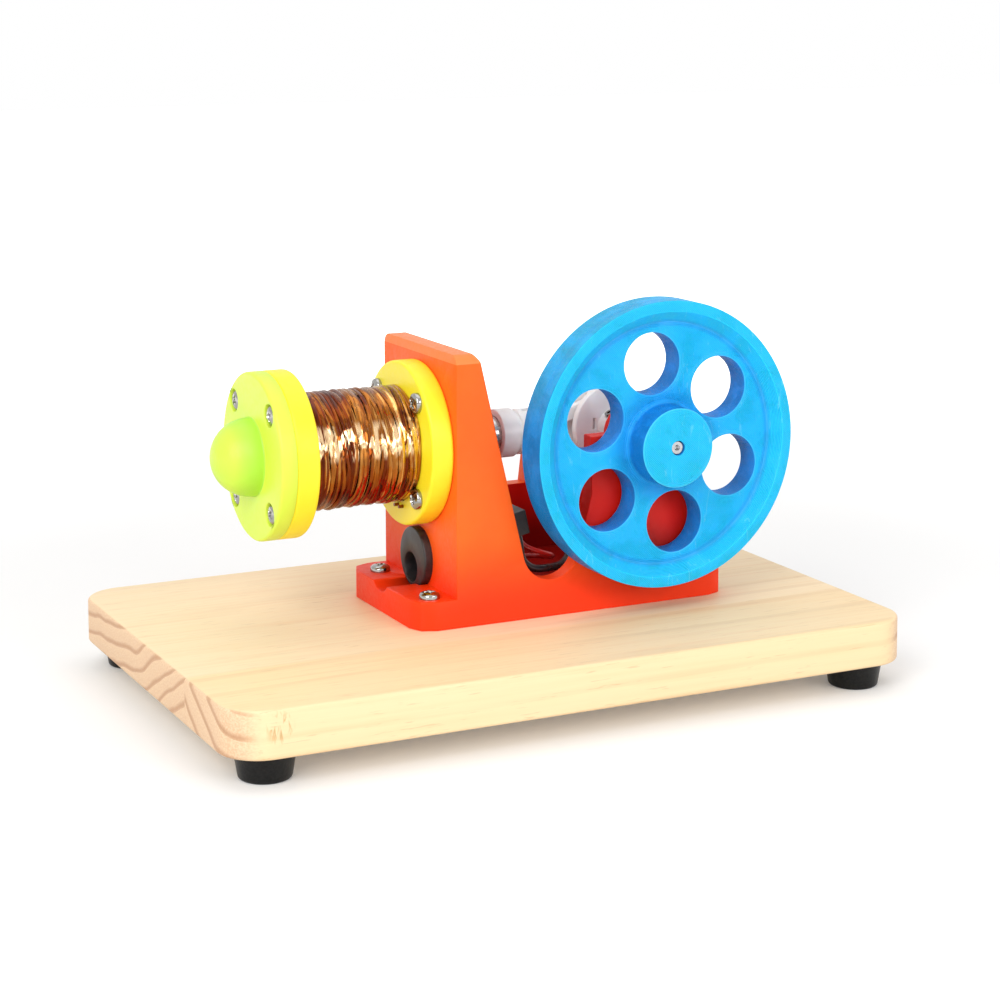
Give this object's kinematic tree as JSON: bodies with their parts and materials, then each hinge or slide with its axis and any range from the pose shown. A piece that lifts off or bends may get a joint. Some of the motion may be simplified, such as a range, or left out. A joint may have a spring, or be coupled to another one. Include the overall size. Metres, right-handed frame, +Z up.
{
  "type": "demonstration electric motor",
  "caption": "Bench model of a reciprocating electric motor: a wound coil pulls a steel plunger whose rod and crank turn a flywheel with round holes, all on a wooden board",
  "frame": {"origin": "under the middle of the wooden board, on the plane that the rubber feet stand on", "axes": "+X along the board from the coil to the flywheel, +Y across the board away from the flywheel, +Z up"},
  "size_m": [0.2, 0.13, 0.1081],
  "materials": {
    "pine": "satin",
    "foot_rubber": "matte",
    "orange_print": "satin",
    "yellow_print": "satin",
    "green_print": "satin",
    "blue_print": "satin",
    "white_print": "satin",
    "copper_wire": "gloss",
    "plunger_steel": "brushed",
    "shaft_steel": "polished",
    "screw_steel": "polished",
    "bush_bronze": "satin",
    "socket_black": "gloss",
    "red_insulation": "gloss",
    "black_insulation": "gloss"
  },
  "bodies": {
    "stand": {"base_board": "pine", "rubber_foot_front_left": "foot_rubber", "rubber_foot_front_right": "foot_rubber", "rubber_foot_rear_left": "foot_rubber", "rubber_foot_rear_right": "foot_rubber", "foot_screws": "screw_steel", "frame": "orange_print", "frame_screws": "screw_steel", "bobbin": "yellow_print", "winding_core": "copper_wire", "winding": "copper_wire", "end_cap": "green_print", "end_cap_screws": "screw_steel", "bobbin_screws": "screw_steel", "coil_lead_inner": "copper_wire", "coil_lead_outer": "copper_wire", "socket_bezel": "socket_black", "socket_body": "socket_black", "socket_pin": "screw_steel", "socket_terminals": "screw_steel", "red_lead": "red_insulation", "ground_lead": "black_insulation", "sensor_lead": "black_insulation", "driver_module": "socket_black", "timing_sensor": "socket_black", "front_bush": "bush_bronze", "rear_bush": "bush_bronze", "front_washer": "screw_steel", "rear_washer": "screw_steel"},
    "crankshaft": {"flywheel": "blue_print", "front_shaft": "shaft_steel", "front_crank_disc": "white_print", "disc_set_screw": "screw_steel", "rear_shaft": "shaft_steel", "rear_crank_disc": "white_print", "timing_magnet": "screw_steel", "shaft_collar": "screw_steel"},
    "plunger_assembly": {"plunger": "plunger_steel", "plunger_head": "white_print", "wrist_pin": "screw_steel"},
    "rod": {"connecting_rod": "white_print", "crank_pin": "screw_steel"}
  },
  "joints": [
    {"name": "crank_spin", "type": "hinge", "parent": "stand", "child": "crankshaft", "pos_m": [0.0408, 0.0048, 0.0679], "axis": [0, 1, 0], "continuous": true},
    {"name": "plunger_slide", "type": "slide", "parent": "stand", "child": "plunger_assembly", "axis": [1, 0, 0], "range_m": [-0.0073, 0.0076]},
    {"name": "rod_swing", "type": "hinge", "parent": "plunger_assembly", "child": "rod", "pos_m": [0.01666, 0.0048, 0.0679], "axis": [0, 1, 0], "range_deg": [-0.29, 36.13]}
  ]
}
